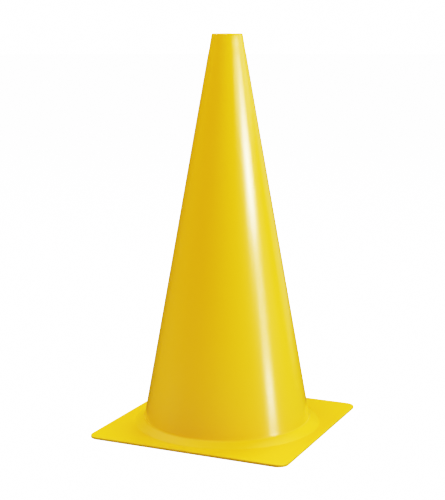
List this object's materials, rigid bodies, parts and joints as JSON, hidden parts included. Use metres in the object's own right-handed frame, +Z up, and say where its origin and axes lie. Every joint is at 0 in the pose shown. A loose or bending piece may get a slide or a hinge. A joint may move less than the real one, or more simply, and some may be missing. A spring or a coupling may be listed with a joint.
{
  "type": "marker cone",
  "caption": "Plain yellow plastic marker cone: a straight tapered hollow body with an open rim, on a thin square plate with rounded corners. It stacks, and takes a pole in its rim.",
  "frame": {"origin": "on the floor, under the cone's axis: the middle of the square plate's underside", "axes": "+Z up along the cone's axis, towards the rim; +X and +Y square to two sides of the plate"},
  "size_m": [0.202, 0.202, 0.38],
  "materials": {
    "cone_plastic": "semi-gloss moulded polyethylene, yellow, fine moulding texture",
    "plate_plastic": "satin moulded polyethylene, yellow, the same as the body"
  },
  "bodies": {
    "root": {"cone_body": "cone_plastic", "base_plate": "plate_plastic"}
  },
  "joints": []
}
